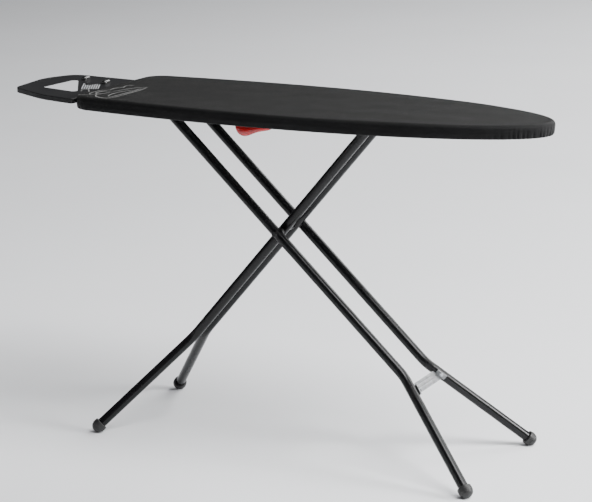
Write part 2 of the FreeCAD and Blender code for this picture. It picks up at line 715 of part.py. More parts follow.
def make_rack_spring():
    """Coil that draws the rack's free end up to the rail's web."""
    return helix_coil(2.4, 0.5, 3.2, 9, Vec(RACK_HEEL_X + 5, 6, RACK_TOP - 5.3))


def make_lever_spring():
    """Torsion coil round the lever rod, beside the rail."""
    coil = helix_coil(4.4, 0.6, 2.2, 5, Vec(0, 0, 0))
    coil.rotate(Vec(0, 0, 0), Vec(1, 0, 0), 90)
    coil.translate(Vec(LEVER_X, -RAIL_HALF - 1.5, LEVER_Z))
    return coil


# ---------------------------------------------------------------- write every node
def main():
    rail_rivets = make_rail_rivets()
    bracket_rivets = make_bracket_rivets()
    rest_screws = make_rest_screws()
    save("cover", make_cover())
    save("hem_elastic", make_hem_elastic())
    save("foam_pad", make_pad())
    save("mesh_top", make_mesh_top())
    save("rim_frame", make_rim())
    for i, x in enumerate(STRAP_XS):
        save("cross_strap_" + str(i + 1), bored(bored(make_cross_strap(x), rail_rivets), rest_screws))
    save("rack_rail", bored(make_rack_rail(), rail_rivets))
    save("rail_rivets", rail_rivets)
    for side, y in zip(("near", "far"), BRACKET_YS):
        save("hinge_bracket_" + side, bored(make_hinge_bracket(y), bracket_rivets))
    save("bracket_rivets", bracket_rivets)
    save("lever_bracket", make_lever_bracket())

    save("iron_rest", make_iron_rest())
    save("rest_bumpers", make_rest_bumpers())
    for side, y in zip(("near", "far"), ARM_YS):
        save("rest_arm_" + side, bored(make_rest_arm(y), rest_screws))
    save("rest_clips", make_rest_clips())
    save("rest_screws", rest_screws)

    for name, leg in (("outer", OUTER), ("inner", INNER)):
        tube = leg_tube(leg)
        cap = foot_cap(leg)
        save(name + "_leg_tube_far", tube)
        save(name + "_leg_tube_near", mirror_y(tube))
        save(name + "_foot_cap_far", cap)
        save(name + "_foot_cap_near", mirror_y(cap))
    save("hinge_bar", make_hinge_bar())
    save("hinge_clips", make_hinge_clips())
    save("leg_brace", make_brace())
    save("brace_screws", make_brace_screws())
    save("cross_axle", make_axle())
    save("axle_spacers", make_axle_spacers())
    save("centre_sleeve", make_centre_sleeve())
    save("slide_rod", make_slide_rod())
    save("guide_washers", make_guide_washers())

    save("lever_rod", make_lever_rod())
    save("lever_grip", make_lever_grip())
    save("lever_spring", make_lever_spring())
    save("height_rack", make_rack())
    save("rack_pin", make_rack_pin())
    save("rack_spring", make_rack_spring())


main()
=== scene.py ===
# %% [markdown]
# # An ironing board on crossed legs
#
# This lesson dresses a finished mechanical model of a folding ironing board. The steel parts come
# in with their true sizes and joints, and stay where they are. What is made here is what the eye
# judges: the padded cloth cover with its gathered hem, the expanded steel under it, the moulded
# parts, and a finish for every surface.
#
# The board stands on the floor at Z = 0. +X points to the rounded nose, and the height lever is on
# the -Y side. All lengths are metres.

import json
import math

import bmesh
import bpy
import numpy as np
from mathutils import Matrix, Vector


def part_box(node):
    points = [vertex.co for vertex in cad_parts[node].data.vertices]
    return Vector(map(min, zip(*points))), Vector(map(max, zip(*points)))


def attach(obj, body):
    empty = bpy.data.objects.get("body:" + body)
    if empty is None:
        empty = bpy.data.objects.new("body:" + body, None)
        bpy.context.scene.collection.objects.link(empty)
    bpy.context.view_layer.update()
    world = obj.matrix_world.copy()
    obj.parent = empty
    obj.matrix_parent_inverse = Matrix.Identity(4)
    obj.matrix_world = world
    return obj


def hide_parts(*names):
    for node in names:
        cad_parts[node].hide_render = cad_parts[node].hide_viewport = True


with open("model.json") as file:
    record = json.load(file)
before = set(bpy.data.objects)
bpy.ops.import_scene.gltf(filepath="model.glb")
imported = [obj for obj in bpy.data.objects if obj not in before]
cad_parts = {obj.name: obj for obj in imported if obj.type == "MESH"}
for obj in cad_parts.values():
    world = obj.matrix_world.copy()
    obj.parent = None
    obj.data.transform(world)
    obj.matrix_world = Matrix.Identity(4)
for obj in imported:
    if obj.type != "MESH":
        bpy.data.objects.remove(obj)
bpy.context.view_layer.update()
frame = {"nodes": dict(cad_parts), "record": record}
nodes = frame["nodes"]

# %% [markdown]
# ## Camera, floor and light
#
# A studio picture of a long, low object wants a long lens from well back, so that the far legs are
# nearly as large as the near ones. The camera looks a little down, from the nose end of the near
# side. The floor is one wide pale sheet, which fills the view without a horizon. The light is one
# large soft panel above, another that washes the far floor, a panel on the nose side that catches
# the pleats, and a weak fill at the heel. The air itself is dim, because dark cloth and paint seen
# at a flat angle mirror it and turn grey.

# %% Camera
CAMERA_AT = Vector((2.0077, -3.775, 1.472))
CAMERA_TURN = 0.4776        # radians from +Y towards -X
CAMERA_DIP = 0.2398         # radians below the level
LENS_MM = 119.9

camera = bpy.data.objects.new("camera", bpy.data.cameras.new("camera"))
bpy.context.scene.collection.objects.link(camera)
looking = Vector((-math.sin(CAMERA_TURN) * math.cos(CAMERA_DIP),
                  math.cos(CAMERA_TURN) * math.cos(CAMERA_DIP),
                  -math.sin(CAMERA_DIP)))
camera.location = CAMERA_AT
camera.rotation_mode = "QUATERNION"
camera.rotation_quaternion = looking.to_track_quat("-Z", "Y")
camera.data.lens = LENS_MM
camera.data.sensor_width = 36.0
bpy.context.scene.camera = camera
print("camera distance", round(CAMERA_AT.length, 2), "m")


# %% Node materials in a few words
def new_material(name):
    """An empty node material; returns it, its nodes, a linker and its surface shader."""
    material = bpy.data.materials.new(name)
    material.use_nodes = True
    tree = material.node_tree
    return material, tree.nodes, tree.links.new, tree.nodes["Principled BSDF"]


def place_reader(node_set, link, scale, stretch=(1, 1, 1)):
    """Object coordinates times a scale, so that a pattern keeps its real size on every piece."""
    where = node_set.new("ShaderNodeTexCoord")
    sized = node_set.new("ShaderNodeMapping")
    sized.inputs["Scale"].default_value = [scale * s for s in stretch]
    link(where.outputs["Object"], sized.inputs["Vector"])
    return sized.outputs["Vector"]


def cloud(node_set, link, scale, detail=3.0, stretch=(1, 1, 1)):
    """Soft noise with this many cells to the metre."""
    noise = node_set.new("ShaderNodeTexNoise")
    noise.inputs["Scale"].default_value = 1.0
    noise.inputs["Detail"].default_value = detail
    link(place_reader(node_set, link, scale, stretch), noise.inputs["Vector"])
    return noise.outputs["Fac"]


def ramp(node_set, link, value, stops):
    """A colour ramp: each stop is a place and a colour."""
    mixer = node_set.new("ShaderNodeValToRGB")
    while len(mixer.color_ramp.elements) < len(stops):
        mixer.color_ramp.elements.new(0.5)
    for element, (at, colour) in zip(mixer.color_ramp.elements, stops):
        element.position = at
        element.color = (*colour, 1.0)
    link(value, mixer.inputs["Fac"])
    return mixer.outputs["Color"]


def spread(node_set, link, value, low, high):
    """Carries a 0 to 1 value to a range."""
    ranged = node_set.new("ShaderNodeMapRange")
    ranged.inputs["To Min"].default_value = low
    ranged.inputs["To Max"].default_value = high
    link(value, ranged.inputs["Value"])
    return ranged.outputs["Result"]


def relief(node_set, link, height, depth, under=None):
    """A bump of this depth in metres, on top of another bump if one is given."""
    bump = node_set.new("ShaderNodeBump")
    bump.inputs["Strength"].default_value = 1.0
    bump.inputs["Distance"].default_value = depth
    link(height, bump.inputs["Height"])
    if under is not None:
        link(under, bump.inputs["Normal"])
    return bump.outputs["Normal"]


# %% Floor
FLOOR_SIZE = 60.0


def floor_finish():
    """Pale painted studio floor: nearly one tone, a little cloudy."""
    material, node_set, link, shader = new_material("studio_floor")
    tone = ramp(node_set, link, cloud(node_set, link, 0.7),
                [(0.3, (0.80, 0.81, 0.83)), (0.7, (0.84, 0.85, 0.87))])
    link(tone, shader.inputs["Base Color"])
    shader.inputs["Roughness"].default_value = 0.85
    shader.inputs["Specular IOR Level"].default_value = 0.15
    return material


def make_floor():
    """One square sheet at the height that the feet stand on."""
    half = FLOOR_SIZE / 2
    mesh = bpy.data.meshes.new("studio_floor")
    corners = [(-half, -half, 0), (half, -half, 0), (half, half, 0), (-half, half, 0)]
    mesh.from_pydata(corners, [], [(0, 1, 2, 3)])
    floor = bpy.data.objects.new("studio_floor", mesh)
    bpy.context.scene.collection.objects.link(floor)
    mesh.materials.append(floor_finish())
    return floor


make_floor()


# %% Lights
def soft_panel(name, at, towards, size, watts, colour=(1, 1, 1)):
    """A square area light at one point that faces another."""
    light = bpy.data.lights.new(name, "AREA")
    light.shape = "RECTANGLE"
    light.size, light.size_y = size
    light.energy = watts
    light.color = colour
    panel = bpy.data.objects.new(name, light)
    bpy.context.scene.collection.objects.link(panel)
    panel.location = at
    panel.rotation_mode = "QUATERNION"
    panel.rotation_quaternion = (Vector(towards) - Vector(at)).to_track_quat("-Z", "Y")
    return panel


soft_panel("overhead_panel", (3.0, -0.6, 5.0), (1.9, -0.4, 0.0), (3.6, 3.0), 520)
soft_panel("far_floor_wash", (1.6, 7.0, 4.5), (-1.5, 6.5, 0.0), (8.0, 4.0), 700)
soft_panel("nose_side_panel", (4.2, 1.0, 1.7), (0.6, 0.0, 0.7), (1.2, 1.6), 300)
soft_panel("heel_side_fill", (-3.2, -3.4, 1.4), (-0.4, -0.2, 0.7), (1.0, 1.0), 14)

world = bpy.data.worlds.new("studio_air")
world.use_nodes = True
world.node_tree.nodes["Background"].inputs["Color"].default_value = (0.93, 0.95, 1.0, 1.0)
world.node_tree.nodes["Background"].inputs["Strength"].default_value = 0.12
bpy.context.scene.world = world

# %% [markdown]
# ## Finishes
#
# Four families of finish are on this object: black powder coat on the tubes and the iron rest,
# bright zinc on the pins, dull galvanised sheet on the leg tie and the rack, and moulded plastic.
# Each one is a base tone that drifts a little, a roughness that drifts more, because handling
# polishes some places, and a fine relief: orange peel on paint, drawing marks on wire, a faint
# texture on mouldings.

# %% Painted steel
def powder_coat(name, dark, light, rough, peel_depth, coat, gloss=0.5):
    """Baked powder: orange-peel relief some 2 mm across, cloudy gloss, and a thin clear skin."""
    material, node_set, link, shader = new_material(name)
    tone = ramp(node_set, link, cloud(node_set, link, 9.0), [(0.35, dark), (0.75, light)])
    link(tone, shader.inputs["Base Color"])
    link(spread(node_set, link, cloud(node_set, link, 26.0, 5.0), rough - 0.07, rough + 0.09),
         shader.inputs["Roughness"])
    peel = relief(node_set, link, cloud(node_set, link, 520.0, 1.5), peel_depth)
    grit = relief(node_set, link, cloud(node_set, link, 2600.0, 1.0), peel_depth * 0.3, peel)
    link(grit, shader.inputs["Normal"])
    shader.inputs["Specular IOR Level"].default_value = gloss
    shader.inputs["Coat Weight"].default_value = coat
    shader.inputs["Coat Roughness"].default_value = 0.16
    return material


leg_paint = powder_coat("leg_paint", (0.0035, 0.0035, 0.0040), (0.0075, 0.0075, 0.0080),
                        0.25, 0.00005, 0.10, 0.22)
rest_paint = powder_coat("rest_paint", (0.0045, 0.0045, 0.0050), (0.0100, 0.0100, 0.0105),
                         0.46, 0.00006, 0.05, 0.30)
mesh_paint = powder_coat("mesh_paint", (0.055, 0.056, 0.058), (0.085, 0.086, 0.088), 0.45, 0.00003, 0.1)


# %% Bare metals
def plated(name, dark, light, rough, grain, stretch):
    """Plated or drawn metal: streaks along the way it was drawn, and a spangle of lighter grains."""
    material, node_set, link, shader = new_material(name)
    tone = ramp(node_set, link, cloud(node_set, link, 60.0, 4.0), [(0.3, dark), (0.7, light)])
    link(tone, shader.inputs["Base Color"])
    link(spread(node_set, link, cloud(node_set, link, 110.0, 4.0), rough - 0.08, rough + 0.12),
         shader.inputs["Roughness"])
    link(relief(node_set, link, cloud(node_set, link, grain, 3.0, stretch), 0.00002), shader.inputs["Normal"])
    shader.inputs["Metallic"].default_value = 1.0
    return material


zinc = plated("zinc_plate", (0.46, 0.47, 0.49), (0.66, 0.67, 0.69), 0.28, 900.0, (1, 0.2, 1))
galvanised = plated("galvanised_sheet", (0.20, 0.205, 0.21), (0.36, 0.365, 0.37), 0.42, 500.0, (1, 0.3, 1))
spring_wire = plated("spring_wire", (0.30, 0.30, 0.32), (0.46, 0.46, 0.48), 0.25, 1500.0, (1, 1, 0.3))


# %% Mouldings
def moulded(name, dark, light, rough, grain_depth, coat=0.0, subsurface=0.0):
    """Injection-moulded plastic or rubber: fine spark-eroded texture and a few cloudy rubbed places."""
    material, node_set, link, shader = new_material(name)
    tone = ramp(node_set, link, cloud(node_set, link, 40.0), [(0.35, dark), (0.7, light)])
    link(tone, shader.inputs["Base Color"])
    link(spread(node_set, link, cloud(node_set, link, 75.0, 4.0), rough - 0.08, rough + 0.08),
         shader.inputs["Roughness"])
    link(relief(node_set, link, cloud(node_set, link, 1800.0, 2.0), grain_depth), shader.inputs["Normal"])
    shader.inputs["Coat Weight"].default_value = coat
    shader.inputs["Subsurface Weight"].default_value = subsurface
    return material


foot_rubber = moulded("foot_rubber", (0.006, 0.006, 0.006), (0.016, 0.016, 0.016), 0.48, 0.00004)
bumper_rubber = moulded("bumper_rubber", (0.008, 0.008, 0.008), (0.014, 0.014, 0.014), 0.22, 0.00001, 0.5)
clip_plastic = moulded("clip_plastic", (0.010, 0.010, 0.010), (0.018, 0.018, 0.018), 0.42, 0.00003)
nylon = moulded("natural_nylon", (0.52, 0.51, 0.47), (0.66, 0.65, 0.61), 0.40, 0.00002, 0.0, 0.15)
red_plastic = moulded("red_plastic", (0.36, 0.004, 0.006), (0.50, 0.008, 0.010), 0.20, 0.00001, 0.5)

# %% Give the steel and plastic nodes their finishes
FINISH_OF_SLOT = {
    "black_steel": leg_paint, "rest_paint": rest_paint, "mesh_steel": mesh_paint,
    "zinc_steel": zinc, "galvanised_steel": galvanised, "spring_steel": spring_wire,
    "black_plastic": foot_rubber, "silicone": bumper_rubber, "nylon": nylon, "red_plastic": red_plastic,
}


def dress_nodes():
    """Every node whose own shape is shown gets the finish of its slot in the record."""
    dressed = 0
    for part in frame["record"]["subparts"]:
        finish = FINISH_OF_SLOT.get(part["material_slot"])
        if finish is None:
            continue
        materials = nodes[part["node"]].data.materials
        materials.clear()
        materials.append(finish)
        dressed += 1
    return dressed


print("dressed", dress_nodes(), "nodes")

# %% [markdown]
# ## The board's outline
#
# Everything soft on this board follows one closed line: a straight heel with rounded corners, two
# shallow sides and a nose that is nearly half an ellipse. It could be traced with a curve object,
# but a formula is easier to move inwards for the pad, the hem and the mesh. The line is cut into
# short pieces by its own length, with shorter pieces round the nose and the heel corners, because
# the gathered cloth there needs finer steps than the straight sides do.

# %% Outline as a formula
cover_low, cover_high = (np.array(corner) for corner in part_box("cover"))
HEEL_X, NOSE_X = cover_low[0], cover_high[0]
HALF_WIDTH = cover_high[1]
COVER_TOP, COVER_FOOT = cover_high[2], cover_low[2]
WIDEST_X = -0.0159
HEEL_TAPER = 0.026
NOSE_POWER = 1.96
HEEL_CORNER = 0.050
SPINE_HEEL, SPINE_NOSE = 0.085, 0.13    # how far the spine stops short of the two ends


def half_width(x, inset):
    """Half the board's width at x: an ellipse-like fall to the nose, a square-law taper to the heel."""
    ahead = np.clip((x - WIDEST_X) / (NOSE_X - WIDEST_X - inset), 0, 1)
    behind = np.clip((WIDEST_X - x) / (WIDEST_X - HEEL_X), 0, 1)
    return (HALF_WIDTH - inset) * np.sqrt(1 - ahead ** NOSE_POWER) - HEEL_TAPER * behind ** 2


def far_side(inset):
    """Points from the middle of the heel round its corner and along the side to the nose."""
    heel, radius = HEEL_X + inset, HEEL_CORNER - inset
    corner_x = heel + radius
    corner_y = half_width(np.array([corner_x]), inset)[0]
    turn = np.linspace(math.pi, math.pi / 2, 60)
    along = np.linspace(corner_x, WIDEST_X, 80)[1:]
    round_nose = WIDEST_X + (NOSE_X - WIDEST_X - inset) * np.sin(np.linspace(0, math.pi / 2, 900)[1:])
    side_x = np.concatenate([along, round_nose])
    heel_line = np.stack([np.full(40, heel), np.linspace(0, corner_y - radius, 40)], 1)[:-1]
    corner = np.stack([corner_x + radius * np.cos(turn), corner_y - radius + radius * np.sin(turn)], 1)
    side = np.stack([side_x, half_width(side_x, inset)], 1)
    return np.concatenate([heel_line, corner, side])


def outline(count, inset=0.0, extra=1.6):
    """count points round the closed outline, and the outward direction at each.

    Spacing is one over a weight that rises from 1 by extra where the line is near the nose or a
    heel corner; both halves are cut alike, so the loop is symmetrical about the X axis."""
    half = far_side(inset)
    step = np.linalg.norm(np.diff(half, axis=0), axis=1)
    middle = (half[1:, 0] + half[:-1, 0]) / 2
    weight = 1 + extra * (np.exp(-((middle - NOSE_X) / 0.09) ** 2) + np.exp(-((middle - HEEL_X) / 0.05) ** 2))
    grown = np.concatenate([[0], np.cumsum(step * weight)])
    wanted = np.linspace(0, grown[-1], count // 2 + 1)
    one = np.stack([np.interp(wanted, grown, half[:, k]) for k in (0, 1)], 1)
    loop = np.concatenate([one, one[-2:0:-1] * [1, -1]])
    tangent = np.roll(loop, -1, axis=0) - np.roll(loop, 1, axis=0)
    tangent /= np.linalg.norm(tangent, axis=1)[:, None]
    return loop, np.stack([-tangent[:, 1], tangent[:, 0]], 1)


def spine_of(loop):
    """The point on the board's middle line that each point of a loop is joined to."""
    return np.stack([np.clip(loop[:, 0], HEEL_X + SPINE_HEEL, NOSE_X - SPINE_NOSE), np.zeros(len(loop))], 1)


def loop_length(loop):
    """Distance round a closed loop up to each of its points, and the whole length."""
    step = np.linalg.norm(np.roll(loop, -1, axis=0) - loop, axis=1)
    return np.concatenate([[0], np.cumsum(step)[:-1]]), step.sum()


edge_line, edge_out = outline(900)
edge_run, EDGE_LENGTH = loop_length(edge_line)
print("outline", round(EDGE_LENGTH, 3), "m round,", len(edge_line), "points")

# %% [markdown]
# ## From grids to meshes
#
# A surface here is a grid of points: rows one way, columns the other. Two neighbours in a row and
# two in the next row make one four-sided face. A closed loop joins its last column to its first.
# The grid's own flat coordinates are stored as a UV map in metres, so that a weave keeps its size.

# %% Grid to mesh
def grid_faces(rows, columns, closed_columns, closed_rows=False):
    """Four-sided faces between neighbouring rows and columns, wrapped where the grid closes."""
    across = np.arange(columns if closed_columns else columns - 1)
    down = np.arange(rows if closed_rows else rows - 1)
    r, c = np.meshgrid(down, across, indexing="ij")
    nr, nc = (r + 1) % rows, (c + 1) % columns
    corners = [r * columns + c, r * columns + nc, nr * columns + nc, nr * columns + c]
    return np.stack(corners, -1).reshape(-1, 4)


def mesh_piece(name, points, faces, finish, body, flat=None, smooth=True):
    """Make a mesh object from points and faces, with optional flat coordinates, and ride it."""
    mesh = bpy.data.meshes.new(name)
    mesh.from_pydata(points.reshape(-1, 3).tolist(), [], faces.tolist())
    if flat is not None:
        layer = mesh.uv_layers.new(name="cut")
        corner = np.empty(len(mesh.loops), dtype=np.int32)
        mesh.loops.foreach_get("vertex_index", corner)
        layer.data.foreach_set("uv", flat.reshape(-1, 2)[corner].astype(np.float32).ravel())
    mesh.polygons.foreach_set("use_smooth", np.full(len(mesh.polygons), smooth))
    mesh.materials.append(finish)
    piece = bpy.data.objects.new(name, mesh)
    bpy.context.scene.collection.objects.link(piece)
    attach(piece, body)
    return piece


def weld(piece, distance, outwards=True):
    """Merge points closer than the distance, drop faces with no area, and turn normals outwards."""
    work = bmesh.new()
    work.from_mesh(piece.data)
    bmesh.ops.remove_doubles(work, verts=work.verts, dist=distance)
    bmesh.ops.dissolve_degenerate(work, edges=work.edges, dist=distance / 4)
    if outwards:
        bmesh.ops.recalc_face_normals(work, faces=work.faces)
    work.to_mesh(piece.data)
    work.free()
    return len(piece.data.polygons)


def ridge_noise(rng, run, total, size, octaves=3):
    """Smooth noise round a closed loop: sums of sines whose periods divide its length."""
    value = np.zeros_like(run)
    for octave in range(octaves):
        waves = max(1, round(total / size * 2 ** octave))
        for shift in (0, 1, 2):
            phase, weight = rng.uniform(0, 2 * math.pi), rng.uniform(0.5, 1.0)
            value += weight * 0.55 ** octave * np.sin(2 * math.pi * (waves + shift) * run / total + phase)
    return value / 2.6


# %% [markdown]
# ## Cloth finishes
#
# The cover is a dark cotton twill. Up close it is crossing threads, so the colour and the relief
# come from two sets of fine ribs at an angle; from across a room it is a soft sheen that brightens
# where the cloth turns away, which the shader's sheen gives. The UV map is in metres, so one thread
# is the same size on the top and on the side. Felt and elastic get their own, coarser structure.

# %% Woven cloth
def cut_reader(node_set, link, scale, turn=0.0):
    """The piece's flat coordinates in metres, times a scale, turned by an angle."""
    where = node_set.new("ShaderNodeUVMap")
    where.uv_map = "cut"
    sized = node_set.new("ShaderNodeMapping")
    sized.inputs["Scale"].default_value = (scale, scale, 1)
    sized.inputs["Rotation"].default_value = (0, 0, turn)
    link(where.outputs["UV"], sized.inputs["Vector"])
    return sized.outputs["Vector"]


def threads(node_set, link, per_metre, turn, wander):
    """Parallel ribs: a band wave whose line wanders a little, like spun thread."""
    wave = node_set.new("ShaderNodeTexWave")
    wave.wave_type = "BANDS"
    wave.bands_direction = "X"
    wave.inputs["Scale"].default_value = 1.0
    wave.inputs["Distortion"].default_value = wander
    wave.inputs["Detail"].default_value = 2.0
    link(cut_reader(node_set, link, per_metre / 20 * 2 * math.pi, turn), wave.inputs["Vector"])
    return wave.outputs["Fac"]


def multiply(node_set, link, first, second):
    """Product of two values."""
    times = node_set.new("ShaderNodeMath")
    times.operation = "MULTIPLY"
    link(first, times.inputs[0])
    link(second, times.inputs[1])
    return times.outputs["Value"]


def twill(name, dark, light, rough, sheen, per_metre):
    """Twill: diagonal ribs crossed by finer threads, slubs, and cloudy fading where it is rubbed."""
    material, node_set, link, shader = new_material(name)
    ribs = threads(node_set, link, per_metre, math.radians(63), 0.6)
    weft = threads(node_set, link, per_metre * 1.7, 0.0, 0.4)
    weave = multiply(node_set, link, ribs, weft)
    fade = cloud(node_set, link, 7.0, 4.0)
    shade = node_set.new("ShaderNodeMix")
    shade.data_type = "RGBA"
    shade.inputs["Factor"].default_value = 0.55
    link(ramp(node_set, link, fade, [(0.3, dark), (0.72, light)]), shade.inputs["A"])
    link(ramp(node_set, link, weave, [(0.0, dark), (0.8, light)]), shade.inputs["B"])
    link(shade.outputs["Result"], shader.inputs["Base Color"])
    link(spread(node_set, link, cloud(node_set, link, 18.0, 4.0), rough - 0.07, rough + 0.07),
         shader.inputs["Roughness"])
    slub = relief(node_set, link, cloud(node_set, link, 300.0, 3.0), 0.00012)
    link(relief(node_set, link, weave, 0.00010, slub), shader.inputs["Normal"])
    shader.inputs["Sheen Weight"].default_value = sheen
    shader.inputs["Sheen Roughness"].default_value = 0.42
    shader.inputs["Sheen Tint"].default_value = (0.95, 0.95, 0.90, 1.0)
    shader.inputs["Specular IOR Level"].default_value = 0.10
    return material


cover_cloth = twill("cover_twill", (0.0030, 0.0030, 0.0032), (0.0070, 0.0070, 0.0074), 0.56, 0.03, 1500)
elastic_knit = twill("elastic_knit", (0.010, 0.010, 0.011), (0.030, 0.030, 0.031), 0.75, 0.15, 700)


def felt(name, dark, light):
    """Needled felt: fibres in every direction, darker specks of mixed yarn, no gloss."""
    material, node_set, link, shader = new_material(name)
    fibre = cloud(node_set, link, 900.0, 5.0)
    tone = ramp(node_set, link, fibre, [(0.30, dark), (0.60, light)])
    link(tone, shader.inputs["Base Color"])
    link(relief(node_set, link, fibre, 0.0004), shader.inputs["Normal"])
    shader.inputs["Roughness"].default_value = 0.95
    shader.inputs["Sheen Weight"].default_value = 0.3
    return material


pad_felt = felt("pad_felt", (0.17, 0.17, 0.165), (0.40, 0.39, 0.37))

# %% [markdown]
# ## The cover
#
# The cover is one sheet of cloth pulled tight over the pad and gathered under the rim by elastic.
# It could be simulated from flat, but a tight cover hardly sags: what shows is its edge. So the
# sheet is laid out as a grid, from a line down the middle of the board out over the rounded edge,
# down the skirt, round the rim's foot and in along the hem, and each fold is added as a push along
# the outward direction. Pleats crowd where the outline turns, because there the hem has more cloth
# than length. On the straight sides the pull of the elastic leaves a few long, shallow drag lines.

# %% Rows of the cover
EDGE_R = 0.008              # rounded upper edge
FOOT_R = 0.003              # turn under the rim
HEM_REACH = 0.023           # flat hem under the rim
TOP_ROWS, EDGE_ROWS, SKIRT_ROWS, FOOT_ROWS, HEM_ROWS = 22, 6, 10, 4, 6
CLOTH = 0.0012
TOP_SWELL = 0.00012         # height of the slow waves on the flat top


def cover_rows():
    """Inset, height, share of the way down, and distance along the cloth, for each row past the top.

    The section is a quarter circle, a straight skirt that leans in by the square of its depth, a
    smaller quarter circle and a flat hem."""
    turn = np.linspace(0, math.pi / 2, EDGE_ROWS + 1)[1:]
    inset = [EDGE_R * (1 - np.sin(turn))]
    height = [COVER_TOP - EDGE_R * (1 - np.cos(turn))]
    share = np.linspace(0, 1, SKIRT_ROWS + 1)[1:]
    skirt_low = COVER_FOOT + CLOTH + FOOT_R
    inset.append(0.0016 * share ** 2)
    height.append(COVER_TOP - EDGE_R + (skirt_low - COVER_TOP + EDGE_R) * share)
    under = np.linspace(0, math.pi / 2, FOOT_ROWS + 1)[1:]
    inset.append(0.0016 + FOOT_R * (1 - np.cos(under)))
    height.append(skirt_low - FOOT_R * np.sin(under))
    reach = np.linspace(0, 1, HEM_ROWS + 1)[1:]
    inset.append(0.0016 + FOOT_R + (HEM_REACH - FOOT_R) * reach)
    height.append(np.full(HEM_ROWS, COVER_FOOT + CLOTH))
    inset, height = np.concatenate(inset), np.concatenate(height)
    path = np.hypot(np.diff(inset, prepend=EDGE_R), np.diff(height, prepend=COVER_TOP))
    run = np.cumsum(path)
    return inset, height, run


row_inset, row_height, row_run = cover_rows()
print("cloth from the edge to the hem's end", round(row_run[-1] * 1000, 1), "mm")


# %% Folds of the gathered edge
PLEAT_DEPTH = 0.0044


def turning(loop):
    """How strongly the outline bends at each point: 1 round the nose and heel corners, 0 on a side."""
    near_nose = np.exp(-(np.clip(NOSE_X - 0.030 - loop[:, 0], 0, None) / 0.075) ** 2)
    near_heel = np.exp(-(np.hypot(loop[:, 0] - HEEL_X - 0.012, np.abs(loop[:, 1]) - 0.162) / 0.034) ** 2)
    return np.clip(near_nose + 0.8 * near_heel, 0, 1)


def pleat_wave(rng, run, total, spacing):
    """Pleats of uneven width: narrow valleys at 0 and broad ridges at 1.

    The phase is the distance round the board over the spacing, with slow noise added, and the
    profile is the absolute sine to the power 0.55."""
    count = round(total / spacing)
    phase = math.pi * count * run / total + 0.9 * ridge_noise(rng, run, total, spacing * 6)
    return np.abs(np.sin(phase)) ** 0.55


def drag_lines(rng, run, total, depth_run, lines):
    """Long shallow ridges that slant slowly down the skirt, each a bell in both directions."""
    push = np.zeros((len(depth_run), len(run)))
    for _ in range(lines):
        middle, length = rng.uniform(0, total), rng.uniform(0.10, 0.24)
        start, slant = rng.uniform(0.004, 0.026), rng.uniform(-0.055, 0.055)
        width, height = rng.uniform(0.0028, 0.0050), rng.uniform(0.35, 1.0)
        gap = (run - middle + total / 2) % total - total / 2
        line = start + slant * gap
        bell = np.exp(-((depth_run[:, None] - line[None, :]) / width) ** 2)
        push += height * bell * np.exp(-(gap / length) ** 2)[None, :]
    return push


def cover_folds():
    """Push along the outward direction and lift for each row and column past the top."""
    rng = np.random.default_rng(11)
    gather = turning(edge_line)
    down = np.clip((row_run - EDGE_R) / (row_run[-1] - EDGE_R), 0, 1)[:, None]
    skirt_share = np.clip((row_run - 0.006) / 0.024, 0, 1)[:, None]
    fine = pleat_wave(rng, edge_run, EDGE_LENGTH, 0.0115)
    coarse = pleat_wave(rng, edge_run, EDGE_LENGTH, 0.031)
    pleats = (0.7 * fine + 0.3 * coarse - 1)[None, :] * gather * skirt_share ** 1.3
    puckers = (pleat_wave(rng, edge_run, EDGE_LENGTH, 0.017) - 1)[None, :] * (1 - gather) * down ** 2
    slow = ridge_noise(rng, edge_run, EDGE_LENGTH, 0.12)[None, :] * np.sin(math.pi * skirt_share)
    drag = drag_lines(rng, edge_run, EDGE_LENGTH, row_run, 46) * (1 - 0.7 * gather)
    fade_in = np.clip(row_run / 0.010, 0, 1)[:, None] * np.clip((row_run[-1] - row_run) / 0.02, 0, 1)[:, None]
    push = PLEAT_DEPTH * pleats + 0.0006 * puckers + (0.0005 * slow + 0.0011 * drag) * fade_in
    push += 0.0012 * gather * skirt_share - 0.0006
    under = np.clip((row_run - row_run[-1] + HEM_REACH) / HEM_REACH, 0, 1)[:, None]
    lift = under * (0.0016 * fine * (0.35 + gather) + 0.0010 * coarse)[None, :]
    return push, lift


def make_cover():
    """The whole sheet: spine to edge, edge to hem, with flat coordinates for the weave."""
    spine = spine_of(edge_line)
    start = edge_line - edge_out * EDGE_R
    out = np.linspace(0, 1, TOP_ROWS)[:, None, None] ** 0.8
    top = spine + (start - spine) * out
    rng = np.random.default_rng(5)
    x, y = top[..., 0], top[..., 1]
    height = np.full(x.shape, COVER_TOP)
    for _ in range(9):
        turn, size, phase = rng.uniform(-0.5, 0.5), rng.uniform(0.09, 0.30), rng.uniform(0, 6.28)
        across = x * math.sin(turn) * 0.6 + y * math.cos(turn)
        height += TOP_SWELL * np.sin(2 * math.pi * across / size + phase)
    rim_share = np.clip(1 - np.linalg.norm(top - start, axis=2) / 0.022, 0, 1)
    nick = (pleat_wave(rng, edge_run, EDGE_LENGTH, 0.009) - 1)[None, :] * turning(edge_line)
    height += 0.0007 * nick * rim_share ** 2 - 0.0010
    top_points = np.concatenate([top, height[..., None]], 2)

    push, lift = cover_folds()
    side = edge_line[None] - edge_out[None] * row_inset[:, None, None] + edge_out[None] * push[..., None]
    side_height = row_height[:, None] + lift - 0.0010 * np.clip(1 - row_run / 0.02, 0, 1)[:, None]
    side_points = np.concatenate([side, side_height[..., None]], 2)
    flat_side = start[None] + edge_out[None] * row_run[:, None, None]
    points = np.concatenate([top_points, side_points])
    flat = np.concatenate([top, flat_side])
    faces = grid_faces(len(points), len(edge_line), True)[:, ::-1]
    cover = mesh_piece("cover_cloth", points, faces, cover_cloth, "board", flat)
    return cover


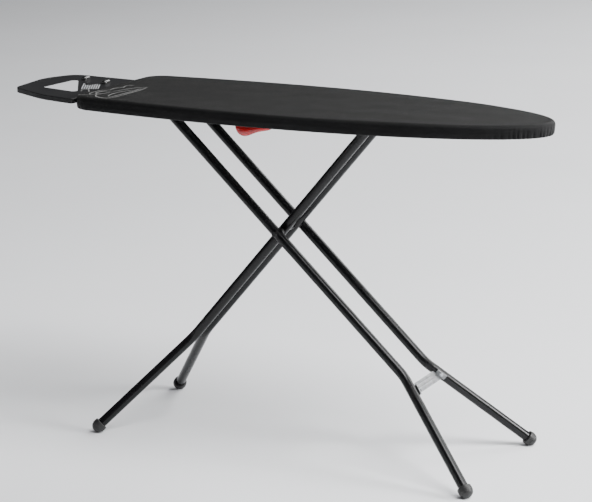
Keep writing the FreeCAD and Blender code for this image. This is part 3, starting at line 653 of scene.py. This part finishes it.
cover = make_cover()
weld(cover, 0.00008, outwards=False)
cloth_wall = cover.modifiers.new("cloth thickness", "SOLIDIFY")
cloth_wall.thickness = CLOTH
cloth_wall.offset = -1.0
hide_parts("cover")
print("cover faces", len(cover.data.polygons))

# %% [markdown]
# ## What is under the cover
#
# Turn the board over and three more soft or woven things show. A sheet of needle felt lies on the
# steel as the pad: a closed form, flat on its steel bed, with a low crown and soft edges. Expanded
# steel carries it: one plate slit and stretched into diamonds, which is lighter than bars and lets
# steam through. Last, an elastic band runs in the cover's hem and pulls the gathers. A diamond mesh
# could be a texture, but light has to come through it, so its strands are real.

# %% Felt pad
PAD_GAP = 0.001             # between the pad's rim and its box
PAD_BORDER = 0.020          # width over which the felt thins, past the cover's edge radius
pad_low, pad_high = (np.array(corner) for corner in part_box("foam_pad"))


def make_pad():
    """Closed form: heights of a lens that is flat below and crowned above by a square-root edge."""
    line, out = outline(360, 0.0, 0.6)
    columns = len(line)
    share = np.linspace(0, 1, 15)
    inset_edge = -pad_high[1] + HALF_WIDTH + PAD_GAP
    reach = EDGE_R + PAD_BORDER
    thickness = pad_high[2] - pad_low[2] - CLOTH
    spine = spine_of(line)
    rim = line - out * inset_edge
    inner = line - out * (inset_edge + reach)
    field = spine + (inner - spine) * np.linspace(0, 1, 10)[:-1, None, None]
    border = inner + (rim - inner) * share[:, None, None]
    flat_top = np.concatenate([field, border])
    fall = np.concatenate([np.ones(9), 0.35 + 0.65 * np.sqrt(1 - share ** 3)])
    rng = np.random.default_rng(3)
    lumps = 0.0002 * ridge_noise(rng, np.arange(columns) * 1.0, float(columns), 12.0)
    top = pad_low[2] + thickness * fall[:, None] + lumps[None, :] * fall[:, None]
    under = flat_top[::-1]
    points = np.concatenate([np.concatenate([flat_top, top[..., None]], 2),
                             np.concatenate([under, np.full(top.shape, pad_low[2] + 0.0002)[..., None]], 2)])
    faces = grid_faces(len(points), columns, True)
    return mesh_piece("felt_pad", points, faces, pad_felt, "board")


pad = make_pad()
weld(pad, 0.00005)
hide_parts("foam_pad")
print("pad", [round(v * 1000, 1) for v in (pad_high - pad_low)], "mm")

# %% Expanded steel mesh
DIAMOND = (0.022, 0.0095)   # long and short way of one opening
STRAND = 0.0015
SELVEDGE = 0.009            # width of the mesh's border
SELVEDGE_INSET = 0.0026
MESH_MARGIN = 0.006         # strands end this far inside the outline
mesh_low, mesh_high = (np.array(corner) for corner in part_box("mesh_top"))


def inside_board(points, inset):
    """Whether points lie inside the outline moved inwards."""
    x, y = points[..., 0], points[..., 1]
    corner = HEEL_X + HEEL_CORNER
    corner_y = half_width(np.array([corner]), inset)[0] - HEEL_CORNER + inset
    in_side = (np.abs(y) < half_width(x, inset)) & (x > HEEL_X + inset) & (x < NOSE_X - inset)
    in_corner = (x > corner) | (np.abs(y) < corner_y) | (
        np.hypot(x - corner, np.abs(y) - corner_y) < HEEL_CORNER - inset)
    return in_side & in_corner


def mesh_strands():
    """Every strand from one crossing to the next: even rows one way, odd rows the other."""
    step = np.array(DIAMOND) / 2
    i = np.arange(math.floor(HEEL_X / step[0]), math.ceil(NOSE_X / step[0]) + 1)
    j = np.arange(-math.ceil(HALF_WIDTH / step[1]), math.ceil(HALF_WIDTH / step[1]) + 1)
    across, up = np.meshgrid(i, j, indexing="ij")
    even = (across + up) % 2 == 0
    start = np.stack([across[even], up[even]], -1) * step
    strands = [(start, start + step * [1, sign]) for sign in (-1, 1)]
    first = np.concatenate([a for a, _ in strands])
    last = np.concatenate([b for _, b in strands])
    keep = inside_board(first, MESH_MARGIN) & inside_board(last, MESH_MARGIN)
    return first[keep], last[keep]


def make_mesh_bed():
    """Each strand is a four-sided bar; it twists a little, as slit plate does when it is stretched."""
    first, last = mesh_strands()
    along = last - first
    side = np.stack([-along[:, 1], along[:, 0]], 1)
    side *= STRAND / 2 / np.linalg.norm(side, axis=1)[:, None]
    low, high = mesh_low[2] + 0.00005, mesh_high[2] - 0.0001
    lean = (high - low) * 0.25
    corners = []
    for end in (first, last):
        for sign, height in ((-1, low), (1, low + lean), (1, high), (-1, high - lean)):
            z = np.full(len(end), height)
            corners.append(np.concatenate([end + sign * side, z[:, None]], 1))
    points = np.stack(corners, 1)
    box_faces = np.array([(0, 1, 5, 4), (1, 2, 6, 5), (2, 3, 7, 6), (3, 0, 4, 7), (0, 3, 2, 1), (4, 5, 6, 7)])
    faces = (box_faces[None] + 8 * np.arange(len(first))[:, None, None]).reshape(-1, 4)
    print("mesh strands", len(first))
    return mesh_piece("mesh_bed", points, faces, mesh_paint, "board", smooth=False)


def make_selvedge():
    """The mesh's folded border: a flat ring just inside the rim."""
    line, out = outline(420, 0.0, 0.8)
    low, high = mesh_low[2], mesh_high[2] - 0.0001
    inner = SELVEDGE_INSET + SELVEDGE
    section = ((SELVEDGE_INSET, low), (SELVEDGE_INSET, high), (inner, high), (inner, low))
    rings = [np.concatenate([line - out * inset, np.full((len(line), 1), z)], 1) for inset, z in section]
    points = np.stack(rings)
    faces = grid_faces(len(points), len(line), True, closed_rows=True)
    return mesh_piece("mesh_selvedge", points, faces, mesh_paint, "board")


mesh_bed = make_mesh_bed()
selvedge = make_selvedge()
weld(selvedge, 0.00001)
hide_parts("mesh_top")

# %% Elastic in the hem, and its stitches
elastic_low, elastic_high = (np.array(corner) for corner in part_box("hem_elastic"))
ELASTIC_INSET = float(HALF_WIDTH - elastic_high[1]) + 0.0015


def closed_tube(line, height, out, radii, sides):
    """A closed tube round the board: an ellipse carried along a line, wider one way than the other."""
    angle = np.linspace(0, 2 * math.pi, sides, endpoint=False)
    across = np.cos(angle)[:, None, None] * radii[0]
    up = np.sin(angle)[:, None] * radii[1]
    flat = line[None] + out[None] * across
    return np.concatenate([flat, (height[None] + up)[..., None]], 2)


def make_elastic():
    """A flat knitted band, crimped: its height follows a fine wave and its inset a slower one."""
    line, out = outline(1100, 0.0, 0.4)
    run, total = loop_length(line)
    crimp = np.sin(2 * math.pi * round(total / 0.0062) * run / total)
    sway = ridge_noise(np.random.default_rng(21), run, total, 0.05)
    middle = line - out * (ELASTIC_INSET + 0.0006 * sway)[:, None]
    height = (elastic_low[2] + elastic_high[2]) / 2 + 0.0003 * crimp
    points = closed_tube(middle, height, out, (0.0022, 0.0010), 8)
    faces = grid_faces(len(points), len(line), True, closed_rows=True)
    around = np.arange(8)[:, None] * 0.0008
    flat = np.stack([np.broadcast_to(side, points.shape[:2]) for side in (run, around)], -1)
    return mesh_piece("hem_elastic_band", points, faces, elastic_knit, "board", flat)


def make_stitches(name, count, inset, height, length, thick):
    """A row of stitches round the hem: each one a short arched bar of thread, six-sided."""
    line, out = outline(count, 0.0, 0.0)
    tangent = np.stack([out[:, 1], -out[:, 0]], 1)
    middle = line - out * inset
    place = np.linspace(-0.5, 0.5, 5)
    angle = np.linspace(0, 2 * math.pi, 6, endpoint=False)
    arch = height - 0.0003 * np.cos(math.pi * place)
    swell = thick * np.sqrt(np.clip(1.02 - (2 * place) ** 2, 0.02, 1))
    centre = middle[:, None, :] + tangent[:, None, :] * (place * length)[None, :, None]
    flat = centre[:, :, None, :] + out[:, None, None, :] * (swell[:, None] * np.cos(angle))[None, :, :, None]
    up = np.broadcast_to(arch[:, None] + swell[:, None] * np.sin(angle), flat.shape[:3])
    points = np.concatenate([flat, up[..., None]], -1)
    one = grid_faces(5, 6, True)
    faces = (one[None] + 30 * np.arange(count)[:, None, None]).reshape(-1, 4)
    return mesh_piece(name, points, faces, stitch_thread, "board")


stitch_thread = moulded("stitch_thread", (0.016, 0.016, 0.017), (0.050, 0.050, 0.052), 0.60, 0.00005)
elastic_band = make_elastic()
weld(elastic_band, 0.00001)
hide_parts("hem_elastic")
STITCHES = 620
STITCH_INSET, STITCH_LENGTH, STITCH_R = 0.0125, 0.0030, 0.00035
hem_stitches = make_stitches("hem_stitches", STITCHES, STITCH_INSET, COVER_FOOT - 0.0001,
                             STITCH_LENGTH, STITCH_R)

# %% [markdown]
# ## A printed motif
#
# Covers like this carry a small line drawing at the heel end. Here it is a drawing of an iron seen
# from the side, with its lead in loops, made of a few smooth strokes. Ink could be a mask in the
# cloth's material, but thin strokes stay crisp at every size when each one is a ribbon laid a
# hair's breadth over the cloth. Each stroke is a smooth curve through a few points, widened both
# ways and tapered at its ends.

# %% Ink strokes
INK_WIDTH = 0.0022
INK_LIFT = 0.00012
MOTIF_AT = (HEEL_X + 0.098, -0.165)     # heel end of the sole; the motif runs towards +Y
MOTIF_LENGTH = 0.165
MOTIF_STROKES = (
    ((0.00, 0.00), (0.25, -0.01), (0.60, 0.00), (0.86, 0.01), (1.02, 0.04)),
    ((0.02, 0.05), (0.30, 0.045), (0.64, 0.05), (0.90, 0.06)),
    ((0.00, 0.00), (-0.03, 0.05), (0.00, 0.17), (0.07, 0.27), (0.20, 0.33)),
    ((1.02, 0.04), (0.94, 0.12), (0.80, 0.20), (0.62, 0.25), (0.48, 0.27)),
    ((0.48, 0.27), (0.34, 0.28), (0.20, 0.33), (0.16, 0.42), (0.28, 0.47), (0.50, 0.46), (0.60, 0.38)),
    ((0.27, 0.30), (0.25, 0.38), (0.34, 0.41), (0.47, 0.39), (0.50, 0.31)),
    ((0.12, 0.10), (0.22, 0.15), (0.40, 0.17), (0.60, 0.15), (0.74, 0.10)),
    ((0.16, 0.42), (0.06, 0.50), (0.12, 0.58), (0.30, 0.56), (0.42, 0.60), (0.36, 0.66), (0.24, 0.62)),
    ((0.60, 0.38), (0.74, 0.40), (0.86, 0.34), (0.98, 0.36), (1.05, 0.28)),
)


def smooth_path(points, steps):
    """A cubic curve through the points: each span leaves and arrives parallel to its neighbours."""
    p = np.array(points, dtype=float)
    p = np.concatenate([[2 * p[0] - p[1]], p, [2 * p[-1] - p[-2]]])
    t = np.linspace(0, 1, steps, endpoint=False)[:, None]
    spans = []
    for a, b, c, d in zip(p, p[1:], p[2:], p[3:]):
        spans.append(0.5 * (2 * b + (c - a) * t + (2 * a - 5 * b + 4 * c - d) * t ** 2
                            + (3 * b - 3 * c + d - a) * t ** 3))
    return np.concatenate(spans + [p[-2][None]])


def ink_ribbon(path, width):
    """Two edges of a stroke on the board's plane: its half-width falls to a quarter at both ends."""
    run = np.linspace(0, 1, len(path))
    half = width / 2 * (0.25 + 0.75 * np.sqrt(np.sin(math.pi * np.clip(run, 0.002, 0.998))))
    along = np.gradient(path, axis=0)
    side = np.stack([-along[:, 1], along[:, 0]], 1) / np.linalg.norm(along, axis=1)[:, None]
    return np.stack([path + side * half[:, None], path - side * half[:, None]])


def make_motif():
    """All strokes as one piece, laid down onto the cloth from a little above it."""
    points, faces, count = [], [], 0
    for stroke in MOTIF_STROKES:
        local = smooth_path(stroke, 14) * MOTIF_LENGTH
        path = np.stack([MOTIF_AT[0] - local[:, 1], MOTIF_AT[1] + local[:, 0]], 1)
        faces.append(grid_faces(2, len(path), False) + count)
        points.append(ink_ribbon(path, INK_WIDTH).reshape(-1, 2))
        count += 2 * len(path)
    points = np.concatenate(points)
    points = np.concatenate([points, np.full((len(points), 1), COVER_TOP + 0.003)], 1)
    motif = mesh_piece("printed_motif", points, np.concatenate(faces), cover_ink, "board")
    lay = motif.modifiers.new("lie on the cloth", "SHRINKWRAP")
    lay.target = cover
    lay.wrap_method = "PROJECT"
    lay.use_project_z = True
    lay.use_negative_direction = True
    lay.offset = INK_LIFT
    return motif


cover_ink = moulded("cover_ink", (0.22, 0.22, 0.215), (0.38, 0.38, 0.37), 0.55, 0.00004)
motif = make_motif()
print("motif strokes", len(MOTIF_STROKES))

# %% [markdown]
# ## Foot caps
#
# Each leg ends in a rubber cap: a short cup over the tube, two grooves that let it flex, and a dome
# worn flat where it stands. A lathe shape suits it: one profile turned about the tube's line. The
# ring of points at the tube's end gives that line, so nothing has to be measured twice. Where the
# dome would pass through the floor, its points are held at floor height, as wear does.

# %% Turned caps
CAP_RADIUS = 0.0160
CAP_CUP = 0.0080            # how far the cup reaches up the tube from the dome's centre
CAP_GROOVES = (0.0015, 0.0060)
CAP_HEIGHT = 0.0156         # dome's centre above the floor


def node_points(name):
    """All points of a node's mesh, in metres."""
    mesh = nodes[name].data
    flat = np.empty(len(mesh.vertices) * 3)
    mesh.vertices.foreach_get("co", flat)
    return flat.reshape(-1, 3)


def axis_of_ring(points):
    """Middle of a flat ring of points, and the downward direction at right angles to it."""
    middle = points.mean(axis=0)
    direction = np.linalg.svd(points - middle, full_matrices=False)[2][2]
    return middle, direction * -np.sign(direction[2])


def cap_profile():
    """Distance below the centre, and radius: lip, cup wall, shoulder, dome with round grooves."""
    tube = 0.0111
    lip = [(-CAP_CUP + 0.004, tube), (-CAP_CUP, tube), (-CAP_CUP - 0.0003, 0.0125), (-CAP_CUP, 0.0146),
           (-CAP_CUP + 0.0010, 0.0156), (-CAP_CUP + 0.0024, 0.0157)]
    turn = np.linspace(-0.25, math.pi / 2, 46)
    below = CAP_RADIUS * np.sin(turn)
    radius = CAP_RADIUS * np.cos(turn)
    for groove in CAP_GROOVES:
        radius -= 0.0011 * np.exp(-((below - groove) / 0.0007) ** 2)
    return np.concatenate([lip, np.stack([below, np.clip(radius, 0, None)], 1)])


def make_cap(tube_name, cap_name, body):
    """Turn the profile about the tube's lower line and hold it at the floor."""
    tube = node_points(tube_name)
    middle, down = axis_of_ring(tube[tube[:, 2] < tube[:, 2].min() + 0.020])
    centre = middle + down * (CAP_HEIGHT - middle[2]) / down[2]
    side = np.cross(down, [0, 0, 1])
    side /= np.linalg.norm(side)
    other = np.cross(down, side)
    turn = np.linspace(0, 2 * math.pi, 56, endpoint=False)
    ring = np.cos(turn)[:, None] * side + np.sin(turn)[:, None] * other
    profile = cap_profile()
    points = centre + profile[:, 0, None, None] * down + profile[:, 1, None, None] * ring[None]
    points[..., 2] = np.clip(points[..., 2], 0, None)
    cap = mesh_piece(cap_name + "_ribbed", points, grid_faces(len(profile), len(turn), True),
                     foot_rubber, body)
    weld(cap, 0.00002)
    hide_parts(cap_name)
    return centre


for leg in ("outer", "inner"):
    for side in ("near", "far"):
        at = make_cap(f"{leg}_leg_tube_{side}", f"{leg}_foot_cap_{side}", f"{leg}_leg")
        print("cap", leg, side, at.round(4))
